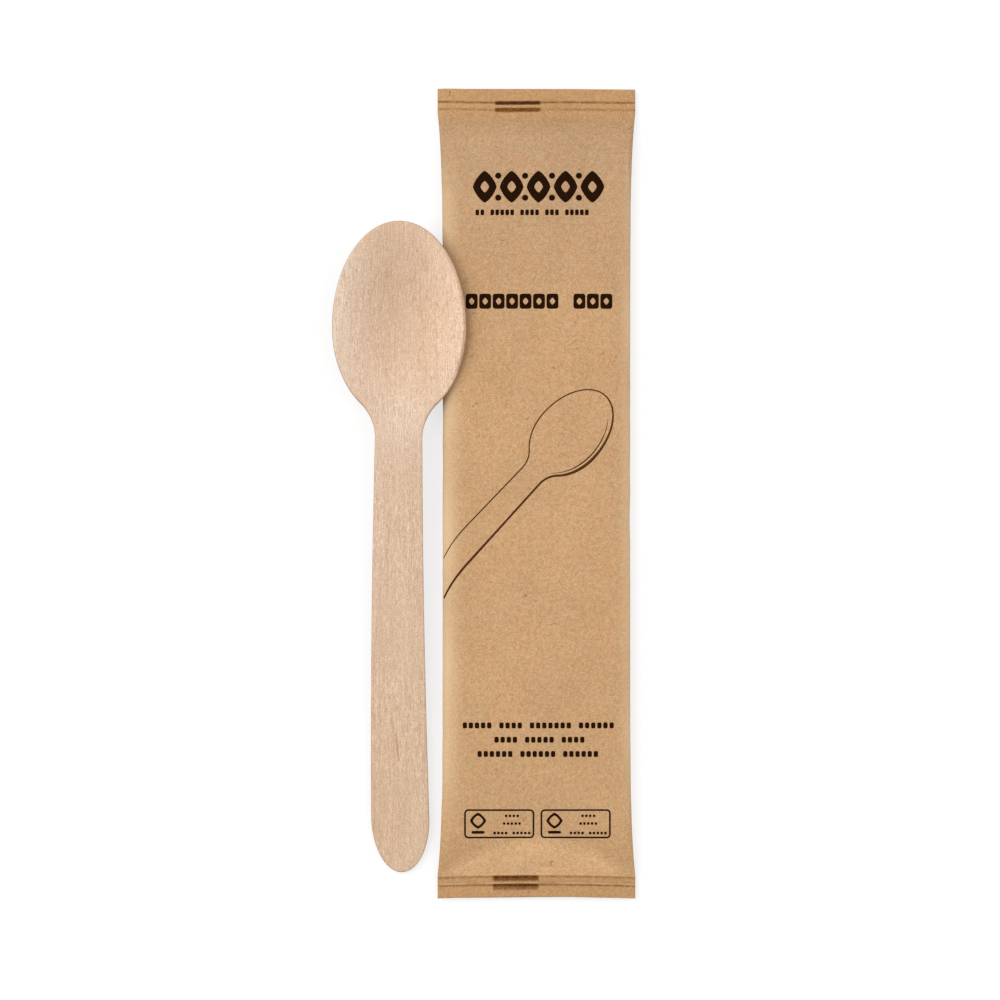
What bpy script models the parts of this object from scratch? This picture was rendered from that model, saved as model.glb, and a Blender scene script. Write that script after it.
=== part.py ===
"""A wrapped wooden spoon: a sealed kraft paper pack, with a bare spoon of pressed veneer lying against it.

The pack lies flat on the surface z = 0, on the folded fin of its back seal. The bare spoon rests on its belly
and on the end of its handle, and one side of its bowl leans on the pack's long edge. +Y runs from the handles
to the bowls, +Z is up, and the origin is the middle of the whole at the surface. Lengths are in metres.
"""

import math

import bmesh
import bpy
from mathutils import Matrix, Vector
from mathutils.bvhtree import BVHTree

# Spoon, measured on its flat blank
SPOON_LENGTH = 0.160
VENEER = 0.0014
BOWL_WIDTH = 0.0330
BOWL_NOSE = 0.0261
BOWL_HEEL = 0.0227
DISH_DEPTH = 0.0058
DISH_RUN_OUT = 0.0275
DISH_REACH = 0.95
NECK_WIDTH = 0.0116
NECK_TURN = math.radians(55)
HANDLE_END_WIDTH = 0.0143
HANDLE_END_ROUND = 0.0135
EDGE_ROUND = 0.00036

# Paper pack
PACK_LENGTH = 0.199
PACK_FLAT_WIDTH = 0.0486
PACK_THICKNESS = 0.0048
PACK_SHOULDER = 0.0045
PACK_CROWN = 0.0006
PACK_SWELL_RUN = 0.011
PACK_LIFT_RUN = 0.030
SEAL_THICKNESS = 0.0004
SEAL_LIFT = 0.0013
GROOVE_COUNT = 2
GROOVE_FROM_END = 0.0031
GROOVE_PITCH = 0.0019
GROOVE_WIDTH = 0.0008
GROOVE_DEPTH = 0.00025
FIN_WIDTH = 0.0113
FIN_THICKNESS = 0.00025
FIN_ROOT_FROM_MIDDLE = 0.0005
FIN_STEP = 0.0002
GATHER_PITCH = 0.0062
GATHER_DEPTH = 0.00022
GATHER_RUN = 0.007

# How the two lie together
SPOON_AXIS_FROM_PACK = 0.0106
SPOON_TIP_BELOW_PACK_TIP = 0.0327
SPOON_TURN = math.radians(0.1)
REST_GAP = 0.0003
STEEPEST_LEAN = math.radians(40)
LEAN_ACCURACY = math.radians(0.005)
SETTLING_TURNS = 4

# Fineness of the meshes
BOWL_COLUMNS = 14
NOSE_ROWS = 8
HEEL_ROWS = 12
HANDLE_ROWS = 8
END_ROWS = 4
SHOULDER_STEPS = 4
TOP_STEPS = 14
SIDE_STEPS = 3
MIDDLE_ROW_PITCH = 0.009
ROW_GROWTH = 1.25
LEAST_ROW_PITCH = 0.0001
SHARP_ANGLE = math.radians(40)


def material(name, colour, roughness):
    """A plain matt material of one colour."""
    made = bpy.data.materials.new(name)
    made.use_nodes = True
    shader = made.node_tree.nodes["Principled BSDF"]
    shader.inputs["Base Color"].default_value = (*colour, 1.0)
    shader.inputs["Roughness"].default_value = roughness
    shader.inputs["Metallic"].default_value = 0.0
    return made


def smooth(share):
    """Eases from 0 to 1 as the share runs from 0 to 1."""
    held = min(max(share, 0.0), 1.0)
    return held * held * (3.0 - 2.0 * held)


def grid_surface(columns, rows, place):
    """A sheet of quads, with each corner moved to place(column, row)."""
    sheet = bmesh.new()
    bmesh.ops.create_grid(sheet, x_segments=columns, y_segments=rows, size=1.0)
    for corner in sheet.verts:
        column = round((corner.co.x + 1.0) / 2.0 * columns)
        row = round((corner.co.y + 1.0) / 2.0 * rows)
        corner.co = place(column, row)
    return sheet


def add_object(name, sheet, look):
    """Puts the mesh in the scene under its own name, with faces out and round parts shaded smooth."""
    bmesh.ops.recalc_face_normals(sheet, faces=sheet.faces)
    shape = bpy.data.meshes.new(name)
    sheet.to_mesh(shape)
    sheet.free()
    shape.materials.append(look)
    shape.shade_smooth()
    shape.set_sharp_from_angle(angle=SHARP_ANGLE)
    made = bpy.data.objects.new(name, shape)
    bpy.context.scene.collection.objects.link(made)
    return made


def disc_place(across, along, half_width, reach):
    """Spreads a square's edge evenly round half an ellipse, for across in -1 to 1 and along in 0 to 1."""
    x = half_width * across * math.sqrt(1.0 - along * along / 2.0)
    y = reach * along * math.sqrt(1.0 - across * across / 2.0)
    return x, y


def handle_start():
    """The place along the spoon where the handle's round end begins."""
    return BOWL_NOSE - SPOON_LENGTH + HANDLE_END_ROUND


def neck_arc():
    """The arc that leads from the heel's ellipse into the handle: its start along, its centre and its radius."""
    half = BOWL_WIDTH / 2
    start = Vector((half * math.cos(NECK_TURN), -BOWL_HEEL * math.sin(NECK_TURN)))
    outward = Vector((math.cos(NECK_TURN) / half, -math.sin(NECK_TURN) / BOWL_HEEL)).normalized()
    radius = (start.x - NECK_WIDTH / 2) / (1.0 - outward.x)
    return start.y, start + outward * radius, radius


def spoon_half_width(y):
    """Half the blank's width behind the widest line of the bowl."""
    arc_start, centre_point, radius = neck_arc()
    if y > arc_start:
        return BOWL_WIDTH / 2 * math.sqrt(1.0 - (y / BOWL_HEEL) ** 2)
    if y > centre_point.y:
        return centre_point.x - math.sqrt(radius**2 - (y - centre_point.y) ** 2)
    share = min((y - centre_point.y) / (handle_start() - centre_point.y), 1.0)
    return (NECK_WIDTH + (HANDLE_END_WIDTH - NECK_WIDTH) * share) / 2


def dish(x, y):
    """How far the pressed bowl lies below the flat blank."""
    run = BOWL_NOSE if y > 0 else DISH_RUN_OUT
    ring = min(math.hypot(x / (BOWL_WIDTH / 2), y / run) * DISH_REACH, 1.0)
    return DISH_DEPTH * (1.0 + math.cos(math.pi * ring)) / 2


def spoon_point(column, row):
    """One corner of the spoon's middle sheet, from the handle's end to the tip of the bowl."""
    across = 2.0 * column / BOWL_COLUMNS - 1.0
    straight = END_ROWS + HANDLE_ROWS + HEEL_ROWS
    if row < END_ROWS:
        x, back = disc_place(across, 1.0 - row / END_ROWS, spoon_half_width(handle_start()), HANDLE_END_ROUND)
        y = handle_start() - back
    elif row <= straight:
        if row < END_ROWS + HANDLE_ROWS:
            share = (row - END_ROWS) / HANDLE_ROWS
            y = handle_start() + share * (-DISH_RUN_OUT - handle_start())
        else:
            share = (row - END_ROWS - HANDLE_ROWS) / HEEL_ROWS
            y = -DISH_RUN_OUT * (1.0 - share)
        x = across * spoon_half_width(y)
    else:
        x, y = disc_place(across, (row - straight) / NOSE_ROWS, BOWL_WIDTH / 2, BOWL_NOSE)
    return Vector((x, y, -dish(x, y)))


def make_spoon(look):
    """The spoon of one pressed veneer, lying in its own frame with the widest line of its bowl at the origin."""
    sheet = grid_surface(BOWL_COLUMNS, END_ROWS + HANDLE_ROWS + HEEL_ROWS + NOSE_ROWS, spoon_point)
    spoon = add_object("spoon", sheet, look)
    thicken = spoon.modifiers.new("veneer", "SOLIDIFY")
    thicken.thickness = VENEER
    thicken.offset = 0.0
    thicken.use_even_offset = True
    ease = spoon.modifiers.new("eased edge", "BEVEL")
    ease.width = min(EDGE_ROUND, 0.4 * VENEER)
    ease.segments = 2
    ease.limit_method = "ANGLE"
    ease.angle_limit = SHARP_ANGLE
    ease.use_clamp_overlap = False
    return spoon


def seal_depth():
    """The length of the crimped band at each end of the pack."""
    return GROOVE_FROM_END + (GROOVE_COUNT - 1) * GROOVE_PITCH + GROOVE_WIDTH


def pack_thickness(inside):
    """The pack's thickness at a distance inside the crimped band, without its crown."""
    swell = 1.0 - math.exp(-max(inside, 0.0) / PACK_SWELL_RUN)
    return SEAL_THICKNESS + (PACK_THICKNESS - SEAL_THICKNESS) * swell


def pack_width(inside):
    """The pack's width there: the same paper goes round a flat band and round the swollen middle."""
    return PACK_FLAT_WIDTH - (math.pi / 2 - 1.0) * (pack_thickness(inside) - SEAL_THICKNESS)


def crimp(from_end):
    """How deep the crimping jaws press the band at a distance from the pack's end."""
    depth = 0.0
    for number in range(GROOVE_COUNT):
        away = abs(from_end - GROOVE_FROM_END - number * GROOVE_PITCH) / (GROOVE_WIDTH / 2)
        depth += GROOVE_DEPTH * (1.0 - smooth(away))
    return depth


def gather(x, inside):
    """The small gathers that fan out of the crimped band, as a height."""
    fade = math.exp(-inside / GATHER_RUN) * smooth(inside / GATHER_RUN) if inside > 0 else 0.0
    return GATHER_DEPTH * fade * math.cos(2.0 * math.pi * x / GATHER_PITCH)


def pack_section(y):
    """The pack's outline across, from its right edge over the top to the left and back underneath."""
    from_end = PACK_LENGTH / 2 - abs(y)
    inside = from_end - seal_depth()
    thick = pack_thickness(inside)
    half = pack_width(inside) / 2
    fullness = (thick - SEAL_THICKNESS) / (PACK_THICKNESS - SEAL_THICKNESS)
    shoulder = PACK_SHOULDER * fullness + SEAL_THICKNESS / 2
    lift = (SEAL_LIFT - SEAL_THICKNESS / 2 - FIN_THICKNESS) * (1.0 - smooth(inside / PACK_LIFT_RUN))
    middle = FIN_THICKNESS + lift + thick / 2 - crimp(from_end)
    arc = [math.pi / 2 * step / SHOULDER_STEPS for step in range(SHOULDER_STEPS)]
    flat_half = half - shoulder
    side = [(half - shoulder * (1.0 - math.cos(turn)), thick / 2 * math.sin(turn)) for turn in arc]
    outline = []
    for x, height in side:
        crown = PACK_CROWN * fullness * (1.0 - (x / half) ** 2)
        outline.append((x, middle + height + crown))
    for step in range(TOP_STEPS + 1):
        x = flat_half * (1.0 - 2.0 * step / TOP_STEPS)
        crown = PACK_CROWN * fullness * (1.0 - (x / half) ** 2)
        outline.append((x, middle + thick / 2 + crown + gather(x, inside)))
    for x, height in reversed(side):
        crown = PACK_CROWN * fullness * (1.0 - (x / half) ** 2)
        outline.append((-x, middle + height + crown))
    for x, height in side[1:]:
        outline.append((-x, middle - height))
    outline += [(x, middle - thick / 2 - drop) for x, drop in underside(flat_half)]
    for x, height in reversed(side[1:]):
        outline.append((x, middle - height))
    return [Vector((x, y, z)) for x, z in outline]


def underside(flat_half):
    """Places across the flat back, left to right, each with how far the folded fin stands out there."""
    root = FIN_ROOT_FROM_MIDDLE
    tip = root - FIN_WIDTH
    places = []
    for step in range(SIDE_STEPS + 1):
        share = step / SIDE_STEPS
        places.append((-flat_half + share * (tip - FIN_STEP + flat_half), 0.0))
    places += [(tip, FIN_THICKNESS), (root, FIN_THICKNESS)]
    for step in range(SIDE_STEPS + 1):
        share = step / SIDE_STEPS
        places.append((root + FIN_STEP + share * (flat_half - root - FIN_STEP), 0.0))
    return places


def pack_rows():
    """The places along the pack, from its lower end to its upper end, closest together at the crimped bands."""
    from_end = {0.0, seal_depth()}
    for number in range(GROOVE_COUNT):
        groove = GROOVE_FROM_END + number * GROOVE_PITCH
        from_end |= {groove - GROOVE_WIDTH / 2, groove, groove + GROOVE_WIDTH / 2}
    step = GROOVE_PITCH / 2
    place = seal_depth() + step
    while place < PACK_LENGTH / 2:
        from_end.add(place)
        step = min(step * ROW_GROWTH, MIDDLE_ROW_PITCH)
        place += step
    upper = sorted(PACK_LENGTH / 2 - distance for distance in from_end)
    apart = [y for y, following in zip(upper, upper[1:] + [math.inf]) if following - y > LEAST_ROW_PITCH]
    return [-y for y in reversed(apart)] + [y for y in apart if y > LEAST_ROW_PITCH]


def make_pack(look):
    """The sealed pack: a paper tube with a fin seal down its back and a crimped band at both ends."""
    outlines = [pack_section(y) for y in pack_rows()]
    corners = len(outlines[0])
    sheet = grid_surface(corners, len(outlines) - 1, lambda column, row: outlines[row][column % corners])
    bmesh.ops.remove_doubles(sheet, verts=sheet.verts, dist=LEAST_ROW_PITCH / 10)
    bmesh.ops.holes_fill(sheet, edges=sheet.edges)
    bmesh.ops.triangulate(sheet, faces=sheet.faces)
    return add_object("paper_wrap", sheet, look)


def world_points(thing):
    """The finished corners of an object, with its modifiers, in the scene's frame."""
    finished = thing.evaluated_get(bpy.context.evaluated_depsgraph_get())
    return [thing.matrix_world @ corner.co for corner in finished.data.vertices]


def settled(points, lean):
    """The place of a spoon that leans by an angle, with its belly and its handle's end down on the surface."""
    tip_up = 0.0
    for _ in range(SETTLING_TURNS):
        turn = Matrix.Rotation(tip_up, 4, "X") @ Matrix.Rotation(-lean, 4, "Y")
        placed = [(turn @ point, point.y) for point in points]
        belly = min((point for point, y in placed if y > -DISH_RUN_OUT), key=lambda point: point.z)
        heel = min((point for point, y in placed if y < handle_start()), key=lambda point: point.z)
        tip_up += math.atan2(heel.z - belly.z, belly.y - heel.y)
    turn = Matrix.Rotation(tip_up, 4, "X") @ Matrix.Rotation(-lean, 4, "Y")
    low = min((turn @ point).z for point in points)
    return Matrix.Translation((0.0, 0.0, -low)) @ turn


def lean_spoon(spoon, pack):
    """Lays the spoon beside the pack, leaning just enough to rest on the pack's long edge."""
    bpy.context.view_layer.update()
    graph = bpy.context.evaluated_depsgraph_get()
    finished = spoon.evaluated_get(graph).data
    points = [corner.co.copy() for corner in finished.vertices]
    faces = [tuple(face.vertices) for face in finished.polygons]
    pack_points = world_points(pack)
    pack_tree = BVHTree.FromObject(pack, graph)
    across = -pack_width(PACK_LENGTH / 2) / 2 - SPOON_AXIS_FROM_PACK
    along = PACK_LENGTH / 2 - SPOON_TIP_BELOW_PACK_TIP - BOWL_NOSE
    beside = Matrix.Translation((across, along, 0.0)) @ Matrix.Rotation(SPOON_TURN, 4, "Z")

    def clear(lean):
        place = beside @ settled(points, lean)
        moved = [place @ point for point in points]
        spoon_tree = BVHTree.FromPolygons(moved, faces)
        if spoon_tree.overlap(pack_tree):
            return False
        near_pack = min(pack_tree.find_nearest(point)[3] for point in moved)
        near_spoon = min(spoon_tree.find_nearest(point)[3] for point in pack_points)
        return min(near_pack, near_spoon) >= REST_GAP

    too_flat, lean = 0.0, STEEPEST_LEAN
    if clear(0.0):
        lean = 0.0
    while lean - too_flat > LEAN_ACCURACY:
        between = (too_flat + lean) / 2
        if clear(between):
            lean = between
        else:
            too_flat = between
    spoon.matrix_world = beside @ settled(points, lean)


def centre(things):
    """Moves all the objects together, so that their common middle lies over the origin."""
    bpy.context.view_layer.update()
    points = [point for thing in things for point in world_points(thing)]
    shift = Vector((
        -(min(point.x for point in points) + max(point.x for point in points)) / 2,
        -(min(point.y for point in points) + max(point.y for point in points)) / 2,
        0.0,
    ))
    for thing in things:
        thing.matrix_world = Matrix.Translation(shift) @ thing.matrix_world


def main():
    for thing in list(bpy.data.objects):
        bpy.data.objects.remove(thing, do_unlink=True)
    birch = material("birch_wood", (0.76, 0.55, 0.39), 0.6)
    kraft = material("kraft_paper", (0.60, 0.37, 0.18), 0.8)
    spoon = make_spoon(birch)
    pack = make_pack(kraft)
    lean_spoon(spoon, pack)
    centre([spoon, pack])


main()
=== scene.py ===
"""The looks of the wrapped wooden spoon: pressed birch veneer, crimped kraft paper and flat dark print."""

import math

import bmesh
import bpy
import numpy as np
from mathutils import Matrix, Vector, noise


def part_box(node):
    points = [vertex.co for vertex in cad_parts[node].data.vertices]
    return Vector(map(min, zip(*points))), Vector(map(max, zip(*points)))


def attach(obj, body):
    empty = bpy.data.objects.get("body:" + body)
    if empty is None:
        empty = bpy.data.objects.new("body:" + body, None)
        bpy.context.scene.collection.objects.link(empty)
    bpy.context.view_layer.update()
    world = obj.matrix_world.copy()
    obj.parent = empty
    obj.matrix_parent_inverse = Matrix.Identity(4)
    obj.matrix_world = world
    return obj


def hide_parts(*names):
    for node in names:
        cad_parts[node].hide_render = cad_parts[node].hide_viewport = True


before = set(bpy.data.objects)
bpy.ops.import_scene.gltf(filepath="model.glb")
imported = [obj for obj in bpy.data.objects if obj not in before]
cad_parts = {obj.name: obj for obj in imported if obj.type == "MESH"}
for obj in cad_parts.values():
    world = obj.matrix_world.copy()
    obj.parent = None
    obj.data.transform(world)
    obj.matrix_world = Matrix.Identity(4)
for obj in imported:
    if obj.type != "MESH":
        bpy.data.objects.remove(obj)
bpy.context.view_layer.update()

MM = 0.001

# Spoon: sizes of the pressed veneer
SPOON_LENGTH = 160.0 * MM
VENEER = 1.4 * MM
BOWL_HALF = 16.5 * MM
BOWL_NOSE = 26.1 * MM
BOWL_HEEL = 22.7 * MM
DISH_DEPTH = 5.8 * MM
DISH_RUN_OUT = 27.5 * MM
DISH_REACH = 0.95
NECK_HALF = 5.8 * MM
NECK_TURN = math.radians(55)
HANDLE_END_HALF = 7.15 * MM
HANDLE_END_ROUND = 13.5 * MM
HANDLE_START = BOWL_NOSE - SPOON_LENGTH + HANDLE_END_ROUND
EDGE_ROUND = 0.36 * MM
EDGE_LOOPS = 6
HANDLE_BEND = 0.48 * MM
HANDLE_BEND_START = 12.0 * MM
HANDLE_BEND_RUN = 110.0 * MM
END_BEND = 0.36 * MM
END_BEND_START = 118.0 * MM
END_BEND_RUN = 17.0 * MM

# Pack: sizes of the sealed paper
PACK_THICKNESS = 4.8 * MM
PACK_SHOULDER = 4.5 * MM
PACK_CROWN = 0.6 * MM
PACK_SWELL_RUN = 11.0 * MM
PACK_LIFT_RUN = 30.0 * MM
SEAL_THICKNESS = 0.4 * MM
SEAL_LIFT = 1.3 * MM
SEAL_DEPTH = 5.8 * MM
FIN_WIDTH = 11.3 * MM
FIN_THICKNESS = 0.25 * MM
FIN_ROOT = 0.5 * MM
FIN_TIP = FIN_ROOT - FIN_WIDTH

# Crimped seals: each groove's distance from the end, and how hard the jaws pressed it
UPPER_GROOVES = ((3.3 * MM, 1.0), (5.1 * MM, 0.55))
LOWER_GROOVES = ((2.95 * MM, 0.85), (4.95 * MM, 0.7))
GROOVE_HALF = 0.24 * MM
GROOVE_DEPTH = 0.22 * MM
RIDGE_HALF = 0.5 * MM
RIDGE_HEIGHT = 0.07 * MM
LOWER_SEAL_BOW = 0.42 * MM
UPPER_SEAL_WAVE = 0.3 * MM
SEAL_BOW_RUN = 14.0 * MM
# Place from the end and half width of the painted highlight beside the lower seal's outer groove
SEAL_HIGHLIGHT_PLACE = 3.4 * MM
SEAL_HIGHLIGHT_HALF = 0.17 * MM

# Burnt marks over the folded fin, in millimetres: distance from the end, half width and strength
UPPER_SCORCH = ((3.35, 0.47, 1.06), (5.05, 0.58, 0.72))
UPPER_SCORCH_SPAN = (-10.45, 0.65)
LOWER_SCORCH = ((2.35, 0.72, 0.50), (2.95, 0.34, 0.60), (4.55, 0.66, 0.70), (5.0, 0.3, 0.3))
LOWER_SCORCH_SPAN = (-11.0, 0.25)

# Creases in the paper, in millimetres from its middle: start, end, height, width and the strength of the
# painted highlight along each, partly worn paper
CREASES = (
    ((-21.7, 11.0), (-18.0, 8.3), 0.10, 0.35, 0.8),
    ((-21.2, -2.8), (-16.3, -2.9), 0.09, 0.35, 0.8),
    ((-15.8, -14.5), (-12.1, -15.5), 0.09, 0.35, 0.8),
    ((20.2, -17.2), (22.8, -18.6), 0.12, 0.35, 0.8),
    ((22.2, 84.5), (22.6, 70.8), 0.16, 0.30, 0.8),
    ((-4.3, -86.4), (-4.2, -87.8), 0.10, 0.25, 1.0),
    ((-0.6, -91.6), (5.8, -92.4), -0.34, 1.2, 0.0),
    ((-19.6, -93.0), (-14.2, -90.4), 0.12, 0.5, 0.3),
    ((18.8, -93.2), (13.4, -89.8), 0.12, 0.5, 0.3),
)
CREASE_REACH_X = 12.0 * MM
CREASE_REACH_Y = 18.0 * MM

# Painted highlight along the pack's left and right shoulders, partly worn paper: how strong, and how far in
EDGE_HIGHLIGHT_AND_WEAR = {-1.0: (1.3, 3.0 * MM), 1.0: (1.0, 2.0 * MM)}
SHOULDER_STEPS = 9
FRONT_STEPS = 116

# Print: a skin of ink, and the paper's turn that carries it round the left edge
INK_PROUD = 0.03 * MM
INK_SKIN = 0.05 * MM
PRINT_TURN = 6.0 * MM
PRINT_CURL = 0.20

# Print: places and sizes in millimetres from the middle of the pack
ORNAMENT_PLACE = (0.5, 75.3)
ORNAMENT_PITCH = 6.6
ORNAMENT_COUNT = 5
LOZENGE = (2.9, 3.9, 1.35, 0.36)
DOT_HALF = 0.75
DOT_OFF = 2.7
TILE_PLACE = (0.6, 47.2)
TILE_PITCH = 3.3
TILE = (1.46, 1.85, 6.0, 0.46)
TILE_COUNT = 11
TILE_GAP = 7
SUBLINE = (-1.1, 69.0, 1.4, (2, 5, 4, 3, 5), 0.88, 0.34)
TEXT_ROWS = ((0.4, -56.8, (5, 4, 7, 6)), (0.7, -60.3, (4, 5, 4)), (0.3, -63.8, (6, 6, 6)))
TEXT_BLOCK = (1.45, 1.05, 0.45)
BADGES_X = (-9.15, 9.6)
BADGE_Y = -81.0
BADGE_HALF = (8.4, 3.42)
BADGE_CORNER = 0.8
BADGE_LINE = 0.42
BADGE_RING = (-5.2, 0.8, 2.0, 2.0, 1.3, 0.64)
BADGE_BAR = (-5.2, -2.1, 1.6, 0.36)
BADGE_ROWS = ((3.1, 2.0, 0.62, (4,)), (3.1, 0.1, 0.62, (5,)), (3.1, -2.3, 0.66, (4, 5)))
BADGE_BLOCK = (0.6, 0.34)
DRAWN_TIP = (16.9, 24.0)
DRAWN_TURN = math.radians(47)
DRAWN_SCALE = 0.5
DRAWN_OVERRUN = 1.75
DRAWN_INSET = 1.9 * MM

# Scene: the camera's frame, the lamps and the floor
VIEW_WIDTH = 245.4 * MM
VIEW_SHIFT = (-8.96 * MM, -1.53 * MM)
VIEW_HEIGHT = 4.0 * MM
LENS = 200.0
SENSOR = 36.0
LAMP_SIZE = 1.2
LAMPS = (("key_left", (-0.82, 0.42, 0.90), 12.0), ("fill_right", (0.9, 0.1, 0.66), 5.9))
WORLD_LIGHT = 0.38
FLOOR_GAP = 0.05 * MM
FLOOR_GREY = 0.38
FLOOR_GLOW = 0.70


def smooth(share):
    """Eases from 0 to 1 as the share runs from 0 to 1, for a number or an array."""
    held = np.clip(share, 0.0, 1.0)
    return held * held * (3.0 - 2.0 * held)


def side_of(x):
    """1 on the right of a middle line and -1 on its left."""
    return 1.0 if x > 0 else -1.0


def bell(away, half):
    """1 at the middle of a mark, and falling off past its half width."""
    return math.exp(-((away / half) ** 2))


def unevenness(x, y, seed):
    """Smooth noise at a place, between about -1 and 1."""
    return noise.noise(Vector((x, y, seed)))


def grid_sheet(columns, rows, place, sheet=None):
    """A sheet of quads whose corners lie at place(column, row), added to a mesh that is given or new."""
    sheet = sheet or bmesh.new()
    made = bmesh.ops.create_grid(sheet, x_segments=columns, y_segments=rows, size=1.0)
    for corner in made["verts"]:
        column = round((corner.co.x + 1.0) / 2.0 * columns)
        row = round((corner.co.y + 1.0) / 2.0 * rows)
        corner.co = place(column, row)
    return sheet


def add_piece(name, sheet, look, replaced=None):
    """Puts a finished mesh in the scene as a piece that rides with the part."""
    shape = bpy.data.meshes.new(name)
    sheet.to_mesh(shape)
    sheet.free()
    shape.materials.append(look)
    shape.shade_smooth()
    piece = bpy.data.objects.new(name, shape)
    bpy.context.scene.collection.objects.link(piece)
    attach(piece, "root")
    if replaced:
        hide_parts(replaced)
    return piece


class Link:
    """One value in a material's node tree, which Python's operators combine with others."""

    def __init__(self, tree, socket):
        self.tree = tree
        self.socket = socket

    def math(self, operation, *others):
        """This value and others put through one Math node."""
        values = {index + 1: other for index, other in enumerate(others)}
        return self.tree.node("ShaderNodeMath", {"operation": operation}, {0: self, **values})

    def __add__(self, other):
        return self.math("ADD", other)

    __radd__ = __add__

    def __sub__(self, other):
        return self.math("SUBTRACT", other)

    def __rsub__(self, other):
        return self.tree.node("ShaderNodeMath", {"operation": "SUBTRACT"}, {0: other, 1: self})

    def __mul__(self, other):
        return self.math("MULTIPLY", other)

    __rmul__ = __mul__

    def __truediv__(self, other):
        return self.math("DIVIDE", other)

    def __abs__(self):
        return self.math("ABSOLUTE")

    def eased(self, low, high):
        """0 below low, 1 above high, and smooth between."""
        settings = {"interpolation_type": "SMOOTHSTEP", "clamp": True}
        inputs = {"Value": self, "From Min": low, "From Max": high}
        return self.tree.node("ShaderNodeMapRange", settings, inputs)

    def outputs(self, *names):
        """Other outputs of the same node."""
        sockets = self.socket.node.outputs
        return [Link(self.tree, sockets[name]) for name in names]


class Tree:
    """A node tree that is built up one node at a time."""

    def __init__(self, tree):
        self.nodes = tree.nodes
        self.links = tree.links

    def node(self, kind, settings, inputs, output=0):
        """A node of any kind, with its settings and its inputs' values or links."""
        made = self.nodes.new(kind)
        for name, value in settings.items():
            setattr(made, name, value)
        for name, value in inputs.items():
            self.feed(made.inputs[name], value)
        return Link(self, made.outputs[output])

    def feed(self, socket, value):
        """Gives a socket its link or its fixed value."""
        if isinstance(value, Link):
            self.links.new(value.socket, socket)
        else:
            socket.default_value = value

    def seen(self):
        """1 for what the camera sees, straight or through a reflection or clear matter, and 0 for light."""
        camera = self.node("ShaderNodeLightPath", {}, {}, "Is Camera Ray")
        glossy, clear = camera.outputs("Is Glossy Ray", "Is Transmission Ray")
        return camera.math("MAXIMUM", glossy).math("MAXIMUM", clear)


class Finish(Tree):
    """A material's node tree, with its coordinates in millimetres."""

    def __init__(self, name):
        self.made = bpy.data.materials.new(name)
        self.made.use_nodes = True
        super().__init__(self.made.node_tree)
        self.shader = self.nodes["Principled BSDF"]
        place = self.node("ShaderNodeTexCoord", {}, {}, "Object")
        self.place = self.vector("MULTIPLY", place, (1 / MM, 1 / MM, 1 / MM))

    def vector(self, operation, *values):
        """One Vector Math node."""
        inputs = {index: value for index, value in enumerate(values)}
        return self.node("ShaderNodeVectorMath", {"operation": operation}, inputs)

    def parts(self, vector):
        """The three numbers of a vector or colour."""
        return self.node("ShaderNodeSeparateXYZ", {}, {0: vector}).outputs(0, 1, 2)

    def joined(self, x, y, z):
        """A vector or colour made of three numbers."""
        return self.node("ShaderNodeCombineXYZ", {}, {0: x, 1: y, 2: z})

    def noise(self, scale, shift=(0.0, 0.0, 0.0), detail=3.0, roughness=0.55, distortion=0.0, at=None):
        """Noise with so many waves to the millimetre along each axis, at the place or at another vector."""
        inputs = {
            "Vector": self.vector("MULTIPLY_ADD", at or self.place, scale, shift),
            "Scale": 1.0,
            "Detail": detail,
            "Roughness": roughness,
            "Distortion": distortion,
        }
        return self.node("ShaderNodeTexNoise", {"noise_dimensions": "3D"}, inputs)

    def mix(self, factor, first, second, blend="MIX"):
        """Two colours mixed by a factor."""
        settings = {"data_type": "RGBA", "blend_type": blend}
        return self.node("ShaderNodeMix", settings, {0: factor, 6: first, 7: second}, 2)

    def tinted(self, factor, colour, tint):
        """A colour multiplied by a tint where the factor is 1."""
        return self.mix(factor, colour, tint, "MULTIPLY")

    def shade(self, colour, amount):
        """A colour made darker or lighter by multiplying it by a number."""
        return self.tinted(1.0, colour, self.joined(amount, amount, amount))

    def attribute(self, name):
        """A value that the piece's mesh carries at its corners."""
        return self.node("ShaderNodeAttribute", {"attribute_name": name}, {}, "Fac")

    def fibres(self, pitch, length, width, seed, curl=0.5):
        """Short curved fibres scattered over the face, about one in each cell, as a mask and a chance."""
        x, y, _ = self.parts(self.place)
        wander = self.noise((0.5,) * 3, (seed, 0.0, 0.0), 1.0)
        at = self.joined(x / pitch + wander * 0.6 + seed, y / pitch + wander * 0.6, 0.0)
        inputs = {"Vector": at, "Scale": 1.0}
        cells = self.node("ShaderNodeTexVoronoi", {"voronoi_dimensions": "2D"}, inputs, "Position")
        chance, turn, _ = self.parts(cells.outputs("Color")[0])
        dx, dy, _ = self.parts(self.vector("SUBTRACT", at, cells))
        angle = turn * (2.0 * math.pi)
        cosine, sine = angle.math("COSINE"), angle.math("SINE")
        along = (dx * cosine + dy * sine) * pitch
        across = (dy * cosine - dx * sine) * pitch + along * along * ((chance - 0.5) * curl)
        thin = 1.0 - abs(across).eased(width * 0.35, width)
        short = 1.0 - abs(along).eased(length * 0.35, length * 0.5)
        return thin * short, chance

    def surface(self, colour, roughness, height, relief, gloss):
        """Joins colour, roughness and relief to the shader. The relief is in metres."""
        bump = self.node("ShaderNodeBump", {}, {"Height": height, "Strength": 1.0, "Distance": relief})
        self.feed(self.shader.inputs["Base Color"], colour)
        self.feed(self.shader.inputs["Roughness"], roughness)
        self.feed(self.shader.inputs["Normal"], bump)
        self.feed(self.shader.inputs["Specular IOR Level"], gloss)
        return self.made


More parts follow.
